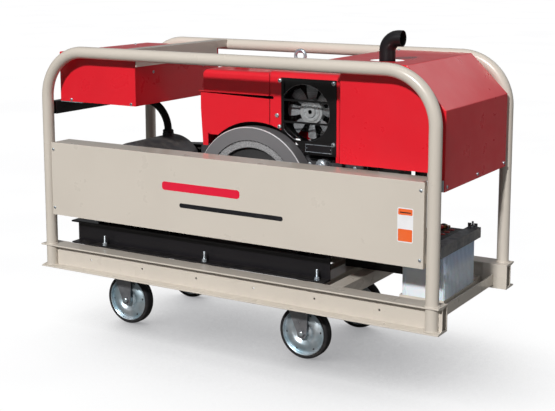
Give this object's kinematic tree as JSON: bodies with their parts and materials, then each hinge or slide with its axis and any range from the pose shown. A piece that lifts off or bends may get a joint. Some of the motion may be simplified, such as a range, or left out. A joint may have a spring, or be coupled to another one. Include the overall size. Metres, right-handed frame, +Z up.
{
  "type": "engine driven welder",
  "caption": "Wheeled diesel welding generator in a tube frame with guard panels, red covers, exposed flywheel and fan, and swivel casters.",
  "frame": {"origin": "on the floor under the middle of the frame", "axes": "+X towards the battery end, +Y away from the flywheel side, +Z up"},
  "size_m": [1.842, 0.763, 1.2862],
  "materials": {
    "ivory_paint": "semi-gloss paint",
    "black_paint": "semi-gloss paint",
    "zinc_plate": "bright zinc plating",
    "red_paint": "semi-gloss baked paint",
    "panel_grey": "satin paint",
    "black_plastic": "moulded",
    "brass_stud": "machined",
    "bare_aluminium": "cast and pressed",
    "battery_case": "translucent moulded case",
    "cable_rubber": "smooth",
    "engine_casting": "painted casting",
    "flywheel_iron": "painted and machined",
    "fork_steel": "pressed steel, zinc plated",
    "tyre_rubber": "moulded solid rubber"
  },
  "bodies": {
    "root": {"rail_near": "ivory_paint", "rail_far": "ivory_paint", "hoop_near": "ivory_paint", "hoop_far": "ivory_paint", "guard_panel": "ivory_paint", "cross_members": "ivory_paint", "frame_lugs": "ivory_paint", "top_channel": "ivory_paint", "support_channel": "black_paint", "fasteners": "zinc_plate", "control_cover": "red_paint", "control_tray": "black_paint", "control_panel": "panel_grey", "panel_instruments": "black_plastic", "outlet_sockets": "black_plastic", "output_terminals": "brass_stud", "rectifier_stack": "bare_aluminium", "end_cover": "red_paint", "bed_channels": "black_paint", "battery_tray": "zinc_plate", "battery": "battery_case", "battery_leads": "cable_rubber", "battery_clamp": "zinc_plate", "engine_block": "engine_casting", "cylinder_head": "engine_casting", "muffler": "black_paint", "exhaust_stack": "black_paint", "air_cleaner": "black_paint", "fuel_tank": "red_paint", "side_panels": "red_paint", "radiator_hood": "red_paint", "fan_screen": "black_paint", "radiator": "bare_aluminium", "lifting_eye": "zinc_plate", "generator": "black_paint", "drive_belts": "cable_rubber", "belt_guard": "black_paint", "conduit": "cable_rubber", "caster_plates": "zinc_plate"},
    "crankshaft": {"flywheel": "flywheel_iron"},
    "rotor": {"generator_rotor": "flywheel_iron"},
    "fan": {"cooling_fan": "bare_aluminium"},
    "cap": {"fuel_cap": "black_plastic"},
    "throttle": {"throttle_lever": "zinc_plate"},
    "dial": {"current_dial": "black_plastic"},
    "key": {"start_key": "zinc_plate"},
    "breaker": {"breaker_lever": "black_plastic"},
    "caster_rear_near": {"fork_rear_near": "fork_steel"},
    "roller_rear_near": {"wheel_rear_near": "zinc_plate", "tyre_rear_near": "tyre_rubber"},
    "caster_rear_far": {"fork_rear_far": "fork_steel"},
    "roller_rear_far": {"wheel_rear_far": "zinc_plate", "tyre_rear_far": "tyre_rubber"},
    "caster_front_near": {"fork_front_near": "fork_steel"},
    "roller_front_near": {"wheel_front_near": "zinc_plate", "tyre_front_near": "tyre_rubber"},
    "caster_front_far": {"fork_front_far": "fork_steel"},
    "roller_front_far": {"wheel_front_far": "zinc_plate", "tyre_front_far": "tyre_rubber"}
  },
  "joints": [
    {"name": "crank_spin", "type": "hinge", "parent": "root", "child": "crankshaft", "pos_m": [0.008, 0, 0.618], "axis": [0, 1, 0], "continuous": true},
    {"name": "rotor_spin", "type": "hinge", "parent": "root", "child": "rotor", "pos_m": [-0.556, 0.14, 0.627], "axis": [0, 1, 0], "continuous": true},
    {"name": "fan_spin", "type": "hinge", "parent": "root", "child": "fan", "pos_m": [0.243, -0.07, 0.951], "axis": [0, 1, 0], "continuous": true},
    {"name": "cap_turn", "type": "hinge", "parent": "root", "child": "cap", "pos_m": [-0.15, 0.02, 1.12], "axis": [0, 0, 1], "range_deg": [0, 90]},
    {"name": "throttle_swing", "type": "hinge", "parent": "root", "child": "throttle", "pos_m": [-0.25, -0.06, 0.9], "axis": [1, 0, 0], "range_deg": [-30, 30]},
    {"name": "dial_turn", "type": "hinge", "parent": "root", "child": "dial", "pos_m": [-0.87, 0.02, 1.092], "axis": [-1, 0, 0], "range_deg": [-135, 135]},
    {"name": "key_turn", "type": "hinge", "parent": "root", "child": "key", "pos_m": [-0.87, -0.215, 1.096], "axis": [-1, 0, 0], "range_deg": [0, 90]},
    {"name": "breaker_throw", "type": "hinge", "parent": "root", "child": "breaker", "pos_m": [-0.854, 0.105, 1.096], "axis": [0, 1, 0], "range_deg": [-25, 25]},
    {"name": "swivel_rear_near", "type": "hinge", "parent": "root", "child": "caster_rear_near", "pos_m": [-0.583, -0.2246, 0.215], "axis": [0, 0, 1], "continuous": true},
    {"name": "roll_rear_near", "type": "hinge", "parent": "caster_rear_near", "child": "roller_rear_near", "pos_m": [-0.563, -0.2246, 0.107], "axis": [0, 1, 0], "continuous": true},
    {"name": "swivel_rear_far", "type": "hinge", "parent": "root", "child": "caster_rear_far", "pos_m": [-0.583, 0.2246, 0.215], "axis": [0, 0, 1], "continuous": true},
    {"name": "roll_rear_far", "type": "hinge", "parent": "caster_rear_far", "child": "roller_rear_far", "pos_m": [-0.563, 0.2246, 0.107], "axis": [0, 1, 0], "continuous": true},
    {"name": "swivel_front_near", "type": "hinge", "parent": "root", "child": "caster_front_near", "pos_m": [0.279, -0.2246, 0.215], "axis": [0, 0, 1], "continuous": true},
    {"name": "roll_front_near", "type": "hinge", "parent": "caster_front_near", "child": "roller_front_near", "pos_m": [0.299, -0.2246, 0.107], "axis": [0, 1, 0], "continuous": true},
    {"name": "swivel_front_far", "type": "hinge", "parent": "root", "child": "caster_front_far", "pos_m": [0.279, 0.2246, 0.215], "axis": [0, 0, 1], "continuous": true},
    {"name": "roll_front_far", "type": "hinge", "parent": "caster_front_far", "child": "roller_front_far", "pos_m": [0.299, 0.2246, 0.107], "axis": [0, 1, 0], "continuous": true}
  ],
  "couplings": [
    {"joint": "rotor_spin", "follows": "crank_spin", "ratio": 1.5294},
    {"joint": "fan_spin", "follows": "crank_spin", "ratio": 1}
  ]
}
